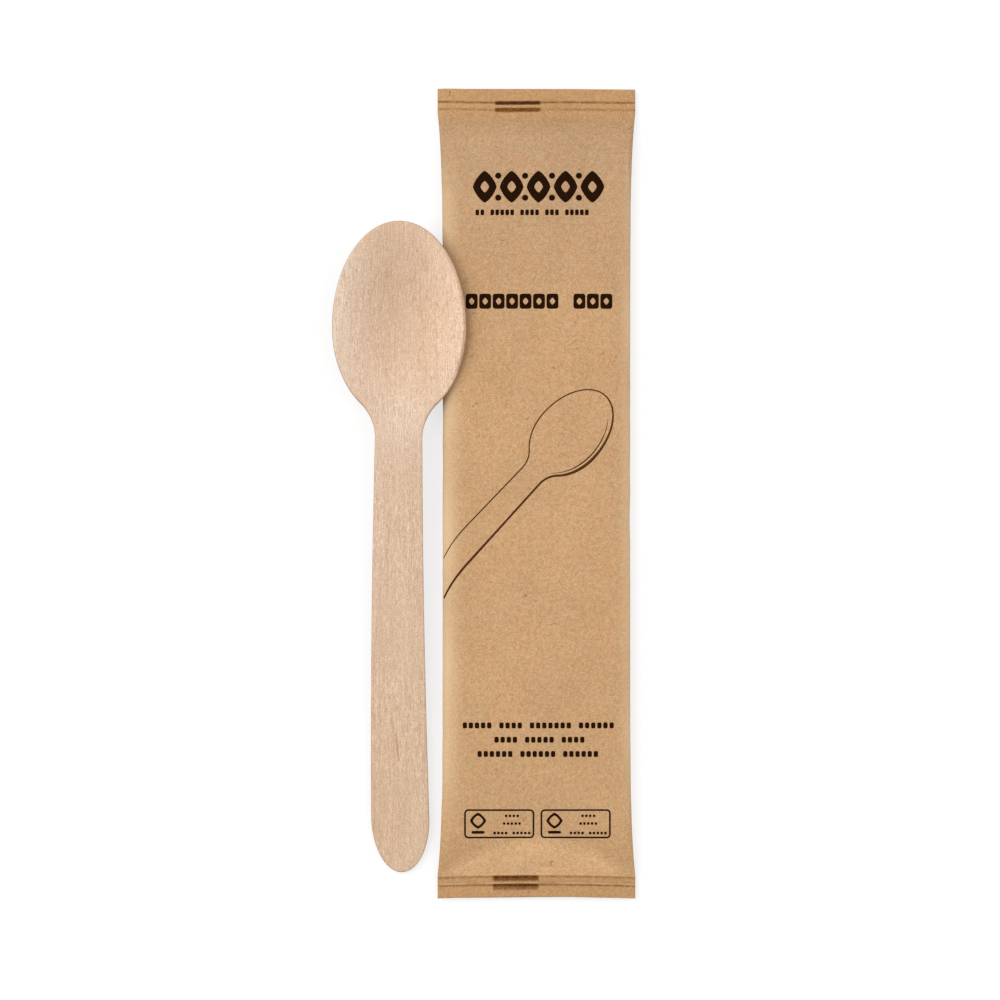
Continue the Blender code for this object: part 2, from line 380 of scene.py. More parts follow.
# Colours of the paper and its print, and tints that multiply them
PULP_DARK = (0.424, 0.217, 0.088, 1.0)
PULP_PALE = (0.795, 0.491, 0.258, 1.0)
PULP_COOL_TINT = (0.975, 1.02, 1.06, 1.0)
DARK_FIBRE = (0.34, 0.17, 0.07, 1.0)
BROWN_FIBRE = (0.40, 0.20, 0.085, 1.0)
PALE_FIBRE = (0.88, 0.62, 0.37, 1.0)
BARK_FLECK = (0.20, 0.095, 0.04, 1.0)
# Painted shade toward the pack's upper end, darker and cooler
UPPER_END_SHADE_TINT = (0.875, 0.91, 1.0, 1.0)
# Painted light on the slope that rises from the lower seal
LOWER_END_LIGHT_TINT = (1.27, 1.32, 1.345, 1.0)
SEAL_TINT = (0.91, 0.87, 0.79, 1.0)
BETWEEN_TINT = (0.94, 0.92, 0.92, 1.0)
# Darker grooves: partly pressed paper, partly painted shade in the groove
GROOVE_SHADE_AND_PRESS_TINT = (0.46, 0.35, 0.24, 1.0)
# Painted highlight on creases, shoulders and beside the lower seal, partly worn paper
HIGHLIGHT_AND_RUBBED_PAPER = (0.92, 0.67, 0.40, 1.0)
SINGED_PAPER = (0.200, 0.068, 0.008, 1.0)
BURNT_PAPER = (0.040, 0.012, 0.002, 1.0)
SOLID_INK = (0.015, 0.0045, 0.001, 1.0)
THIN_INK = (0.088, 0.031, 0.008, 1.0)
PAPER_RELIEF = 0.03 * MM


def kraft_colour(finish):
    """The mottled brown of unbleached paper and the height of its fibres."""
    cloud = finish.noise((0.07,) * 3, detail=2.0)
    hue = finish.noise((0.25,) * 3, (40.0, 0.0, 0.0), 1.0, 0.5)
    mottle = finish.noise((0.8,) * 3, detail=3.0, roughness=0.6, distortion=0.6)
    speck = finish.noise((2.6,) * 3, (7.0, 3.0, 0.0), 3.0, 0.7, 0.5)
    depth = 0.5 + (speck - 0.5) * 1.35 + (mottle - 0.5) * 0.45
    colour = finish.mix(depth, PULP_DARK, PULP_PALE)
    colour = finish.shade(colour, 1.0 + (cloud - 0.5) * 0.24)
    colour = finish.tinted(hue.eased(0.3, 0.7), colour, PULP_COOL_TINT)
    dark_fibre, _ = finish.fibres(1.6, 1.6, 0.12, 3.0)
    brown_fibre, _ = finish.fibres(1.1, 1.1, 0.10, 29.0, -0.9)
    pale_fibre, _ = finish.fibres(1.3, 1.4, 0.12, 61.0, 0.8)
    fleck, chance = finish.fibres(6.5, 1.3, 0.2, 113.0, 0.4)
    colour = finish.mix(dark_fibre * 0.34, colour, DARK_FIBRE)
    colour = finish.mix(brown_fibre * 0.28, colour, BROWN_FIBRE)
    colour = finish.mix(pale_fibre * 0.30, colour, PALE_FIBRE)
    colour = finish.mix(fleck * (0.62 * chance.eased(0.60, 0.95)), colour, BARK_FLECK)
    height = speck * 0.7 + mottle * 0.3 + pale_fibre * 0.2 + dark_fibre * 0.15
    return colour, height


def kraft_zones(finish, colour, middle):
    """The paper's broad tones along the pack: painted shade, darker and cooler, toward the upper end,
    painted light on the slope from the lower seal, and browner in the seals.
    """
    x, y, _ = finish.parts(finish.place)
    across, along = x - middle.x / MM, y - middle.y / MM
    # Painted shade toward the upper end
    upper_end_shade = along.eased(30.0, 88.0) * (1.0 - along.eased(91.0, 94.0))
    # Painted light on the slope that rises from the lower seal, following its bow
    arch = along + across * across * 0.0165
    lower_end_light = (1.0 - arch.eased(-87.5, -82.5)) * along.eased(-94.3, -93.0)
    seals = along.eased(86.0, 93.0).math("MAXIMUM", 1.0 - along.eased(-94.4, -93.2))
    between_grooves = along.eased(-96.9, -96.3) * (1.0 - along.eased(-94.8, -94.2))
    colour = finish.tinted(upper_end_shade * 0.9, colour, UPPER_END_SHADE_TINT)
    colour = finish.tinted(lower_end_light, colour, LOWER_END_LIGHT_TINT)
    colour = finish.tinted(seals, colour, SEAL_TINT)
    return finish.tinted(between_grooves, colour, BETWEEN_TINT)


def kraft_paper(middle):
    """Uncoated kraft paper, darker in the crimped grooves, partly pressed paper and partly painted shade,
    with a painted highlight, partly worn paper, along its creases, its shoulders and the lower seal.
    """
    finish = Finish("kraft_paper")
    colour, height = kraft_colour(finish)
    colour = kraft_zones(finish, colour, middle)
    patchy = finish.noise((0.45, 0.5, 1.0), (0.0, 17.0, 0.0), 4.0, 0.7)
    # The grooves are darker: partly pressed paper, partly painted shade in the groove.
    pressed = finish.attribute("pressed") * patchy.eased(0.22, 0.56)
    colour = finish.tinted(pressed.math("MINIMUM", 1.0), colour, GROOVE_SHADE_AND_PRESS_TINT)
    # Painted highlight along creases, shoulders and beside the lower seal, partly worn paper.
    colour = finish.mix(finish.attribute("highlight_and_rubbed") * 0.5, colour, HIGHLIGHT_AND_RUBBED_PAPER)
    singed = finish.noise((1.2, 2.6, 1.0), detail=3.0, roughness=0.6)
    burn = finish.attribute("scorch") * (0.76 + 0.36 * singed.eased(0.30, 0.65))
    burn = burn.math("MINIMUM", 1.0)
    colour = finish.mix(burn.eased(0.0, 0.62) * 0.95, colour, SINGED_PAPER)
    colour = finish.mix(burn.eased(0.55, 1.0) * 0.96, colour, BURNT_PAPER)
    return finish.surface(colour, 0.82 - 0.12 * pressed, height, PAPER_RELIEF, gloss=0.2)


def print_ink():
    """Flat dark ink that has soaked into the paper, with a few fibres showing through."""
    finish = Finish("print_ink")
    paper, height = kraft_colour(finish)
    worn = finish.noise((2.2,) * 3, (3.0, 9.0, 0.0), 3.0, 0.7)
    ink = finish.mix(finish.attribute("thin"), SOLID_INK, THIN_INK)
    colour = finish.mix(0.005 + 0.10 * worn.eased(0.58, 0.80), ink, paper)
    return finish.surface(colour, 0.85, height, PAPER_RELIEF, gloss=0.02)


# Colours of the birch, and tints that multiply them
BIRCH_DARK = (0.590, 0.372, 0.239, 1.0)
BIRCH_PALE = (0.905, 0.712, 0.545, 1.0)
HAIRLINE = (0.56, 0.33, 0.20, 1.0)
PORE = (0.45, 0.25, 0.145, 1.0)
SPECK = (0.47, 0.27, 0.16, 1.0)
STREAK = (0.42, 0.19, 0.11, 1.0)
BAND_TINT = (0.970, 0.940, 0.915, 1.0)
# A browner middle of the bowl: partly darker wood, partly painted shade
MIDDLE_WOOD_AND_SHADE_TINT = (0.955, 0.93, 0.90, 1.0)
# Painted light on the bowl's left side and heel
LEFT_AND_HEEL_LIGHT_TINT = (1.08, 1.145, 1.22, 1.0)
# Painted light on the bowl's right flank
RIGHT_FLANK_LIGHT_TINT = (1.16, 1.13, 1.11, 1.0)
HANDLE_TINT = (0.965, 0.95, 0.90, 1.0)
CUT_EDGE_TINT = (0.70, 0.60, 0.52, 1.0)
# Painted shade on the bowl's right rim
RIM_SHADE_TINT = (0.63, 0.60, 0.54, 1.0)
WOOD_RELIEF = 0.02 * MM
STREAK_ALONG = -102.9
STREAK_ACROSS = -0.55
STREAK_LEAN = 0.12


def birch_grain(finish, bent):
    """Fine short grain, hairlines and broad faint bands along the spoon, with the relief and the pores."""
    grain = finish.noise((4.4, 0.07, 0.5), detail=1.0, roughness=0.6, at=bent)
    hair = finish.noise((7.0, 0.7, 0.5), detail=0.0, roughness=0.5, at=bent)
    streaks = finish.noise((1.0, 0.03, 0.5), detail=1.0, roughness=0.5, at=bent)
    sand = finish.noise((5.4, 2.8, 0.5), (12.0, 0.0, 0.0), 0.0, 0.5)
    line = finish.noise((2.4, 0.018, 0.5), detail=1.0, roughness=0.5, at=bent)
    bands = finish.noise((0.16, 0.012, 0.1), detail=2.0, roughness=0.5, at=bent)
    pores = finish.noise((4.2, 0.30, 0.5), detail=1.0, roughness=0.5, at=bent).eased(0.62, 0.76)
    depth = 0.5 + (grain - 0.5) * 0.70 + (hair - 0.5) * 0.95 + (streaks - 0.5) * 0.12 + (sand - 0.5) * 1.05
    colour = finish.mix(depth, BIRCH_DARK, BIRCH_PALE)
    colour = finish.mix(line.eased(0.56, 0.68) * 0.16, colour, HAIRLINE)
    colour = finish.tinted(bands.eased(0.35, 0.66), colour, BAND_TINT)
    height = grain * 0.6 + hair * 0.4 - pores * 0.5
    roughness = 0.60 + (grain - 0.5) * 0.2
    return colour, height, roughness, pores


def birch_zones(finish, colour, across, along):
    """The wood's broad tones: a browner middle of the bowl, partly darker wood and partly painted shade,
    painted light on the bowl's left side, heel and right side, and a browner handle.
    """
    in_bowl = along.eased(-24.0, -12.0)
    # A browner middle of the bowl: partly darker wood, partly painted shade
    middle_band = 1.0 - abs(across - 0.5).eased(3.0, 10.0)
    # Painted light on the bowl's left side and heel
    left_side = 1.0 - across.eased(-15.0, -6.0)
    heel = (1.0 - along.eased(-17.0, -5.0)) * along.eased(-36.0, -22.0)
    heel = heel * (1.0 - 0.75 * abs(across).eased(3.0, 10.0))
    painted_light = (left_side * in_bowl).math("MAXIMUM", heel) * 0.9
    # Painted light on the bowl's right flank
    right_side = across.eased(-1.0, 16.0) * along.eased(-26.0, 2.0)
    handle = 1.0 - along.eased(-132.0, -40.0)
    colour = finish.tinted(middle_band * in_bowl, colour, MIDDLE_WOOD_AND_SHADE_TINT)
    colour = finish.tinted(painted_light, colour, LEFT_AND_HEEL_LIGHT_TINT)
    colour = finish.tinted(right_side, colour, RIGHT_FLANK_LIGHT_TINT)
    return finish.tinted(handle, colour, HANDLE_TINT)


def birch_marks(finish, colour, bent, across, along, pores):
    """Pores, specks, a little flame figure on the handle, and one short brown streak near its end."""
    specks = finish.noise((4.6, 1.9, 0.5), (31.0, 5.0, 0.0), 0.0, 0.5)
    flame = finish.noise((0.42, 0.12, 0.0), detail=3.0, roughness=0.65, distortion=2.0, at=bent)
    on_handle = 1.0 - along.eased(-90.0, -30.0)
    past = along - STREAK_ALONG
    beside = abs(across - STREAK_ACROSS + past * STREAK_LEAN)
    streak = (1.0 - beside.eased(0.05, 0.42)) * (1.0 - abs(past).eased(1.4, 4.4))
    colour = finish.mix(pores * 0.30, colour, PORE)
    colour = finish.mix(specks.eased(0.66, 0.76) * 0.26, colour, SPECK)
    colour = finish.shade(colour, 1.0 + (flame - 0.5) * (0.04 + 0.26 * on_handle))
    return finish.mix(streak * 0.58, colour, STREAK)


def birch_edges(finish, colour, across, along):
    """The darker cut edge, and painted shade on the rim where the bowl's right side turns away."""
    facing = finish.node("ShaderNodeNewGeometry", {}, {}, "Normal")
    upright = abs(finish.parts(facing)[2])
    colour = finish.tinted(1.0 - upright.eased(0.25, 0.82), colour, CUT_EDGE_TINT)
    before = along.math("MAXIMUM", 0.0) * (MM / BOWL_NOSE)
    behind = along.math("MINIMUM", 0.0) * (MM / BOWL_HEEL)
    beside = across * (MM / BOWL_HALF)
    ring = (before * before + behind * behind + beside * beside).math("SQRT")
    rim = 1.0 - ((1.0 - ring) * (BOWL_HALF / MM)).eased(0.45, 1.05)
    # Painted shade on the rim where the bowl's right side turns away
    right_side = across.eased(7.0, 13.0) * along.eased(-13.0, -9.5)
    shaded_side = right_side * (1.0 - 0.5 * along.eased(0.0, 16.0))
    return finish.tinted(rim * shaded_side, colour, RIM_SHADE_TINT)


def birch_wood(place):
    """Pale rotary-cut birch, with its grain along the spoon that lies at a place."""
    finish = Finish("birch_wood")
    x, y, z = finish.parts(finish.place)
    across, along = x - place.x / MM, y - place.y / MM
    sway = finish.noise((0.04, 0.025, 0.0), detail=2.0)
    bent = finish.joined(x + (sway - 0.5) * 3.5, y, z)
    colour, height, roughness, pores = birch_grain(finish, bent)
    colour = birch_zones(finish, colour, across, along)
    colour = birch_marks(finish, colour, bent, across, along, pores)
    colour = birch_edges(finish, colour, across, along)
    return finish.surface(colour, roughness, height, WOOD_RELIEF, gloss=0.25)


def neck_arc():
    """The arc from the heel's ellipse into the handle: its start along, its centre and its radius."""
    start = Vector((BOWL_HALF * math.cos(NECK_TURN), -BOWL_HEEL * math.sin(NECK_TURN)))
    outward = Vector((math.cos(NECK_TURN) / BOWL_HALF, -math.sin(NECK_TURN) / BOWL_HEEL)).normalized()
    radius = (start.x - NECK_HALF) / (1.0 - outward.x)
    return start.y, start + outward * radius, radius


def spoon_half_width(y):
    """Half the blank's width behind the widest line of the bowl."""
    arc_start, centre, radius = neck_arc()
    if y > arc_start:
        return BOWL_HALF * math.sqrt(1.0 - (y / BOWL_HEEL) ** 2)
    if y > centre.y:
        return centre.x - math.sqrt(radius**2 - (y - centre.y) ** 2)
    share = min((y - centre.y) / (HANDLE_START - centre.y), 1.0)
    return NECK_HALF + (HANDLE_END_HALF - NECK_HALF) * share


def handle_sway(y):
    """The slight bend of the dried blank: how far its middle line lies to one side."""
    share = min(max((-y - HANDLE_BEND_START) / HANDLE_BEND_RUN, 0.0), 1.0)
    flick = float(smooth((-y - END_BEND_START) / END_BEND_RUN))
    return END_BEND * flick - HANDLE_BEND * math.sin(math.pi * share)


def outline_slope(y):
    """How fast the blank's half width changes along the spoon."""
    step = 0.05 * MM
    ahead = min(y + step, 0.0)
    return (spoon_half_width(ahead) - spoon_half_width(y - step)) / (ahead - y + step)


def dish(x, y):
    """How far the pressed bowl lies below the flat blank."""
    run = BOWL_NOSE if y > 0 else DISH_RUN_OUT
    ring = min(math.hypot(x / BOWL_HALF, y / run) * DISH_REACH, 1.0)
    return DISH_DEPTH * (1.0 + math.cos(math.pi * ring)) / 2


def dish_normal(x, y):
    """The direction square to the pressed veneer."""
    step = 0.02 * MM
    slope_x = (dish(x + step, y) - dish(x - step, y)) / (2 * step)
    slope_y = (dish(x, y + step) - dish(x, y - step)) / (2 * step)
    return Vector((slope_x, slope_y, 1.0)).normalized()


def disc_place(across, along, half_width, reach):
    """Spreads a square's edge evenly round half an ellipse, for across in -1 to 1 and along in 0 to 1."""
    x = half_width * across * math.sqrt(1.0 - along * along / 2.0)
    y = reach * along * math.sqrt(1.0 - across * across / 2.0)
    return x, y


class SpoonForm:
    """The veneer's shape, as corners of a grid whose outer loops wrap round the eased edge."""

    COLUMNS = 56
    END_ROWS = 20
    HANDLE_ROWS = 96
    HEEL_ROWS = 64
    NOSE_ROWS = 44
    ROWS = END_ROWS + HANDLE_ROWS + HEEL_ROWS + NOSE_ROWS

    def flat_place(self, column, row):
        """A place on the blank inside its eased edge, and the way out from there."""
        across = 2.0 * column / self.COLUMNS - 1.0
        straight = self.END_ROWS + self.HANDLE_ROWS + self.HEEL_ROWS
        if row < self.END_ROWS:
            half, reach = HANDLE_END_HALF - EDGE_ROUND, HANDLE_END_ROUND - EDGE_ROUND
            x, back = disc_place(across, 1.0 - row / self.END_ROWS, half, reach)
            return x, HANDLE_START - back, Vector((x / half**2, -back / reach**2, 0.0))
        if row > straight:
            half, reach = BOWL_HALF - EDGE_ROUND, BOWL_NOSE - EDGE_ROUND
            x, y = disc_place(across, (row - straight) / self.NOSE_ROWS, half, reach)
            return x, y, Vector((x / half**2, y / reach**2, 0.0))
        if row < self.END_ROWS + self.HANDLE_ROWS:
            share = (row - self.END_ROWS) / self.HANDLE_ROWS
            y = HANDLE_START + share * (-DISH_RUN_OUT - HANDLE_START)
        else:
            share = (row - self.END_ROWS - self.HANDLE_ROWS) / self.HEEL_ROWS
            y = -DISH_RUN_OUT * (1.0 - share)
        slope = outline_slope(y)
        half = spoon_half_width(y) - EDGE_ROUND * math.sqrt(1.0 + slope * slope)
        return across * half, y, Vector((math.copysign(1.0, across), -slope, 0.0))

    def corner(self, column, row, side):
        """One corner of the upper or lower face, with the loops past the blank's edge rolled round it."""
        inner_column = min(max(column - EDGE_LOOPS, 0), self.COLUMNS)
        inner_row = min(max(row - EDGE_LOOPS, 0), self.ROWS)
        loop = max(abs(column - EDGE_LOOPS - inner_column), abs(row - EDGE_LOOPS - inner_row))
        x, y, outward = self.flat_place(inner_column, inner_row)
        turn = math.pi / 2 * min(loop / (EDGE_LOOPS - 1), 1.0)
        height = (VENEER / 2 - EDGE_ROUND + EDGE_ROUND * math.cos(turn)) if loop < EDGE_LOOPS else 0.0
        out = outward.normalized() * (EDGE_ROUND * math.sin(turn)) if loop else Vector()
        upright = dish_normal(x, y)
        return Vector((x + handle_sway(y), y, -dish(x, y))) + out + upright * (side * height)


def spoon_placement():
    """Where the bare spoon lies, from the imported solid's flat handle, its mirror plane and its tip."""
    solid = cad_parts["spoon"].data
    points = np.array([corner.co for corner in solid.vertices])
    low, high = points[:, 1].min(), points[:, 1].max()
    handle_end = low + 0.6 * (high - low)
    flats = [face for face in solid.polygons if face.center.y < handle_end and face.normal.z > 0.9]
    upright = sum((face.normal * face.area for face in flats), Vector()).normalized()
    spread = np.linalg.eigh(np.cov((points - points.mean(0)).T))[1]
    guess = min((Vector(axis) for axis in spread.T), key=lambda axis: abs(abs(axis.x) - 1.0))
    sideways = (guess - upright * guess.dot(upright)).normalized()
    if sideways.x < 0:
        sideways = -sideways
    forward = upright.cross(sideways)
    turn = Matrix((sideways, forward, upright)).transposed()
    local = points @ np.array(turn)
    handle = local[local[:, 1] < local[:, 1].min() + 0.5 * SPOON_LENGTH]
    origin = Vector((
        (local[:, 0].min() + local[:, 0].max()) / 2,
        local[:, 1].max() - BOWL_NOSE,
        handle[:, 2].max() - VENEER / 2,
    ))
    return Matrix.Translation(turn @ origin) @ turn.to_4x4()


def make_spoon(look):
    """The bare spoon, made of its upper and lower faces welded round the middle of the cut edge."""
    form = SpoonForm()
    columns, rows = form.COLUMNS + 2 * EDGE_LOOPS, form.ROWS + 2 * EDGE_LOOPS
    sheet = grid_sheet(columns, rows, lambda column, row: form.corner(column, row, 1))
    grid_sheet(columns, rows, lambda column, row: form.corner(column, row, -1), sheet)
    bmesh.ops.remove_doubles(sheet, verts=sheet.verts, dist=0.002 * MM)
    bmesh.ops.recalc_face_normals(sheet, faces=sheet.faces)
    bmesh.ops.transform(sheet, matrix=spoon_placement(), verts=sheet.verts)
    return add_piece("bare_spoon", sheet, look, "spoon")


class Crease:
    """A short sharp fold line in the paper, from one place to another, with its height and its width."""

    def __init__(self, start, end, rise, width, highlight_and_rub):
        self.start = Vector(start) * MM
        self.run = (Vector(end) - Vector(start)) * MM
        self.rise = rise * MM
        self.width = width * MM
        self.highlight_and_rub = highlight_and_rub

    def at(self, x, y):
        """How far it lifts the paper at a place, and how strong its painted highlight, partly worn paper,
        is there.
        """
        away = Vector((x, y)) - self.start
        if abs(away.x) > CREASE_REACH_X or abs(away.y) > CREASE_REACH_Y:
            return 0.0, 0.0
        share = min(max(away.dot(self.run) / self.run.length_squared, 0.0), 1.0)
        off = (away - self.run * share).length / self.width
        ends = math.sin(math.pi * (0.12 + 0.76 * share))
        return self.rise * ends * math.exp(-off), self.highlight_and_rub * ends * math.exp(-off * off * 1.4)


class PackForm:
    """The pack's surface as a height over its plan, with its middle at the origin."""

    def __init__(self):
        low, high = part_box("paper_wrap")
        self.middle = (low + high) / 2
        self.length = high.y - low.y
        self.flat_width = high.x - low.x
        self.creases = [Crease(*row) for row in CREASES]

    def inside(self, y):
        """How far a place along the pack lies inside the nearer seal."""
        return self.length / 2 - abs(y) - SEAL_DEPTH

    def thickness(self, inside):
        """The pack's thickness, which grows from a seal inwards."""
        swell = 1.0 - math.exp(-max(inside, 0.0) / PACK_SWELL_RUN)
        return SEAL_THICKNESS + (PACK_THICKNESS - SEAL_THICKNESS) * swell

    def half_width(self, y, side):
        """Half the pack's width on one side, from as much paper round the middle as at the seals."""
        inside = self.inside(y)
        half = (self.flat_width - (math.pi / 2 - 1.0) * (self.thickness(inside) - SEAL_THICKNESS)) / 2
        calm = float(smooth(inside / (25 * MM)))
        ripple = unevenness(side * 9.0, y / (13 * MM), 0.0) * 0.22 * MM
        finer = unevenness(side * 5.0, y / (4 * MM), 2.0) * 0.05 * MM
        return half - abs(ripple + finer) * calm

    def pressed(self, y):
        """How hard the jaws pressed the band there: up to 1 in a groove, and the ridge between two."""
        grooves = UPPER_GROOVES if y > 0 else LOWER_GROOVES
        from_end = self.length / 2 - abs(y)
        groove = sum(strength * bell(from_end - place, GROOVE_HALF) for place, strength in grooves)
        ridge = bell(from_end - sum(place for place, _ in grooves) / 2, RIDGE_HALF)
        return groove, ridge

    def seal_groove_highlight(self, x, y):
        """A painted highlight beside the lower seal's outer groove, in broken lengths."""
        if y > 0:
            return 0.0
        broken = float(smooth((unevenness(x / (6 * MM), 31.0, 0.0) + 0.35) / 0.5))
        return 0.85 * broken * bell(self.length / 2 + y - SEAL_HIGHLIGHT_PLACE, SEAL_HIGHLIGHT_HALF)

    def wrinkles(self, x, y):
        """The paper's small unevenness, with gathers that fan from the seals, and the strength of the
        creases' painted highlight.
        """
        inside = self.inside(y)
        if inside <= 0:
            return 0.0, 0.0
        fade = math.exp(-inside / (9 * MM)) * float(smooth(inside / (4 * MM)))
        fan = 1.0 + 0.25 * inside / (20 * MM)
        gathers = unevenness(x * fan / (3.4 * MM), side_of(y) * 3.0, inside / (26 * MM)) * 0.34 * MM * fade
        soft = unevenness(x / (17 * MM), y / (24 * MM), 5.0) * 0.24 * MM
        dents = unevenness(x / (6.5 * MM), y / (9 * MM), 11.0) * 0.05 * MM
        calm = float(smooth(inside / (12 * MM)))
        creased = [crease.at(x, y) for crease in self.creases]
        rise = gathers + (soft + dents) * calm + sum(one for one, _ in creased)
        return rise, max(highlight_and_rub for _, highlight_and_rub in creased)

    def front(self, x, y):
        """The height of the front at a place, over the surface that the pack lies on."""
        section = PackSection(self, y)
        held = min(max((section.half[side_of(x)] - abs(x)) / section.shoulder, 0.0), 1.0)
        curve = math.sqrt(1.0 - (1.0 - held) ** 2)
        return section.front(x, curve, self.wrinkles(x, y)[0])

    def bow(self, x, y):
        """How far the seals stray from a straight line, carried a little way into the pack."""
        reach = 1.0 - float(smooth(self.inside(y) / SEAL_BOW_RUN))
        if y > 0:
            return UPPER_SEAL_WAVE * (unevenness(x / (14 * MM), 3.0, 0.0) - 0.1) * reach
        return LOWER_SEAL_BOW * (1.0 - (2.0 * x / self.flat_width) ** 2) * reach

    def scorch(self, x, y):
        """How dark the jaws burnt the band where they pressed the folded fin."""
        marks = UPPER_SCORCH if y > 0 else LOWER_SCORCH
        start, end = UPPER_SCORCH_SPAN if y > 0 else LOWER_SCORCH_SPAN
        within = smooth((x / MM - start) / 0.5) * (1.0 - smooth((x / MM - end) / 0.5))
        from_end = (self.length / 2 - abs(y)) / MM
        dark = sum(hard * math.exp(-abs((from_end - place) / half) ** 3) for place, half, hard in marks)
        return float(within) * dark

    def place(self, x, y, z):
        """A place of the pack's own frame in the part's frame."""
        return Vector((self.middle.x + x, self.middle.y + y + self.bow(x, y), z))


class PackSection:
    """The pack's section at one place along it."""

    def __init__(self, form, y):
        inside = form.inside(y)
        full_lift = SEAL_LIFT - SEAL_THICKNESS / 2 - FIN_THICKNESS
        lift = full_lift * (1.0 - float(smooth(inside / PACK_LIFT_RUN)))
        groove, ridge = form.pressed(y)
        self.thick = form.thickness(inside)
        self.under = FIN_THICKNESS + lift
        self.fullness = (self.thick - SEAL_THICKNESS) / (PACK_THICKNESS - SEAL_THICKNESS)
        self.shoulder = PACK_SHOULDER * self.fullness + SEAL_THICKNESS / 2
        self.stamp = RIDGE_HEIGHT * ridge - GROOVE_DEPTH * groove
        self.half = {side: form.half_width(y, side) for side in (-1.0, 1.0)}

    def edge_x(self, side, turn):
        """The place across where the rounded edge has turned so far, from 0 at its outermost line."""
        return side * (self.half[side] - self.shoulder * (1.0 - math.cos(turn)))

    def front(self, x, curve, rise):
        """The front's height, where curve runs from 0 at the pack's edge to 1 on its flat."""
        crown = PACK_CROWN * self.fullness * (1.0 - (x / self.half[side_of(x)]) ** 2)
        return self.under + self.thick / 2 * (1.0 + curve) + crown + self.stamp + rise * curve

    def lower_edge(self, turn):
        """The height of the rounded edge under its outermost line."""
        return self.under + self.thick / 2 * (1.0 - math.sin(turn)) + self.stamp

    def back(self, x):
        """The back's height, lower under the folded fin."""
        on_fin = smooth((x - FIN_TIP) / (0.2 * MM)) * (1.0 - smooth((x - FIN_ROOT) / (0.25 * MM)))
        return self.under - FIN_THICKNESS * float(on_fin) + self.stamp


def pack_rows(form):
    """Places along the pack, close together where the crimping jaws shaped it."""
    places = []
    from_end = 0.0
    while from_end < form.length / 2:
        places.append(form.length / 2 - from_end)
        from_end += (0.13 + 0.47 * float(smooth((from_end - SEAL_DEPTH) / (10 * MM)))) * MM
    return [-y for y in places] + places[::-1]


def back_places(left, right):
    """Places across the back, close together at the fin's two edges."""
    near = 0.3 * MM
    inner = [left + (FIN_TIP - left) * step / 10 for step in range(10)]
    tip_edge = [FIN_TIP + step * 0.07 * MM for step in range(4)]
    on_fin = [FIN_TIP + near + (FIN_WIDTH - near) * step / 10 for step in range(1, 10)]
    root_edge = [FIN_ROOT + step * 0.08 * MM for step in range(4)]
    outer = [FIN_ROOT + near + (right - FIN_ROOT - near) * step / 14 for step in range(1, 15)]
    return sorted(inner + tip_edge + on_fin + root_edge + outer)


def pack_ring(form, y):
    """The pack's outline across at one place, from its right edge over the front and back underneath."""
    section = PackSection(form, y)
    calm = float(smooth((form.inside(y) - 4 * MM) / (30 * MM)))
    # Strength of the painted highlight along each shoulder, partly worn paper
    highlight_and_wear = {
        side: painted_light + 0.45 * unevenness(0.0, y / (17 * MM), painted_light * 30.0)
        for side, (painted_light, _) in EDGE_HIGHLIGHT_AND_WEAR.items()
    }
    turns = [math.pi / 2 * step / SHOULDER_STEPS for step in range(SHOULDER_STEPS)]
    right, left = section.edge_x(1.0, math.pi / 2), section.edge_x(-1.0, math.pi / 2)
    ring = [(section.edge_x(1.0, turn), math.sin(turn)) for turn in turns]
    ring += [(right + (left - right) * step / FRONT_STEPS, 1.0) for step in range(FRONT_STEPS + 1)]
    ring += [(section.edge_x(-1.0, turn), math.sin(turn)) for turn in reversed(turns)]
    outline = []
    for x, curve in ring:
        side = side_of(x)
        rise, highlight_and_rub = form.wrinkles(x, y)
        # Painted highlight along the shoulder, partly worn paper
        worn = highlight_and_wear[side] * calm * bell(section.half[side] - abs(x), EDGE_HIGHLIGHT_AND_WEAR[side][1])
        outline.append((x, section.front(x, curve, rise), max(highlight_and_rub, worn, form.seal_groove_highlight(x, y))))
    outline += [(section.edge_x(-1.0, turn), section.lower_edge(turn), 0.0) for turn in turns[1:]]
    outline += [(x, section.back(x), 0.0) for x in back_places(left, right)]
    outline += [(section.edge_x(1.0, turn), section.lower_edge(turn), 0.0) for turn in reversed(turns[1:])]
    return outline


def make_pack(form, look):
    """The sealed pack, lofted through its outlines and closed at its two cut ends."""
    rows = pack_rows(form)
    rings = [pack_ring(form, y) for y in rows]
    corners = len(rings[0])
    front_corners = 2 * SHOULDER_STEPS + FRONT_STEPS + 1
    sheet = bmesh.new()
    # Values the material reads at each corner: the jaws' pressing, which also sets the grooves' painted
    # shade, the painted highlight, partly worn paper, and the scorch
    pressed = sheet.verts.layers.float.new("pressed")
    highlight_and_rubbed = sheet.verts.layers.float.new("highlight_and_rubbed")
    scorch = sheet.verts.layers.float.new("scorch")
    made = bmesh.ops.create_grid(sheet, x_segments=corners, y_segments=len(rows) - 1, size=1.0)
    for corner in made["verts"]:
        column = round((corner.co.x + 1.0) / 2.0 * corners) % corners
        row = round((corner.co.y + 1.0) / 2.0 * (len(rows) - 1))
        x, z, highlight_and_rub = rings[row][column]
        y = rows[row]
        corner.co = form.place(x, y, z)
        corner[pressed] = form.pressed(y)[0]
        corner[highlight_and_rubbed] = highlight_and_rub
        corner[scorch] = form.scorch(x, y) if column < front_corners else 0.0
    bmesh.ops.remove_doubles(sheet, verts=sheet.verts, dist=0.001 * MM)
    bmesh.ops.holes_fill(sheet, edges=sheet.edges)
    bmesh.ops.recalc_face_normals(sheet, faces=sheet.faces)
    return add_piece("kraft_pack", sheet, look, "paper_wrap")


def close_points(path, pitch):
    """The same path with places no further apart than a pitch."""
    closer = [path[0]]
    for before, after in zip(path, path[1:]):
        steps = max(math.ceil((after - before).length / pitch), 1)
        closer += [before.lerp(after, (step + 1) / steps) for step in range(steps)]
    return closer


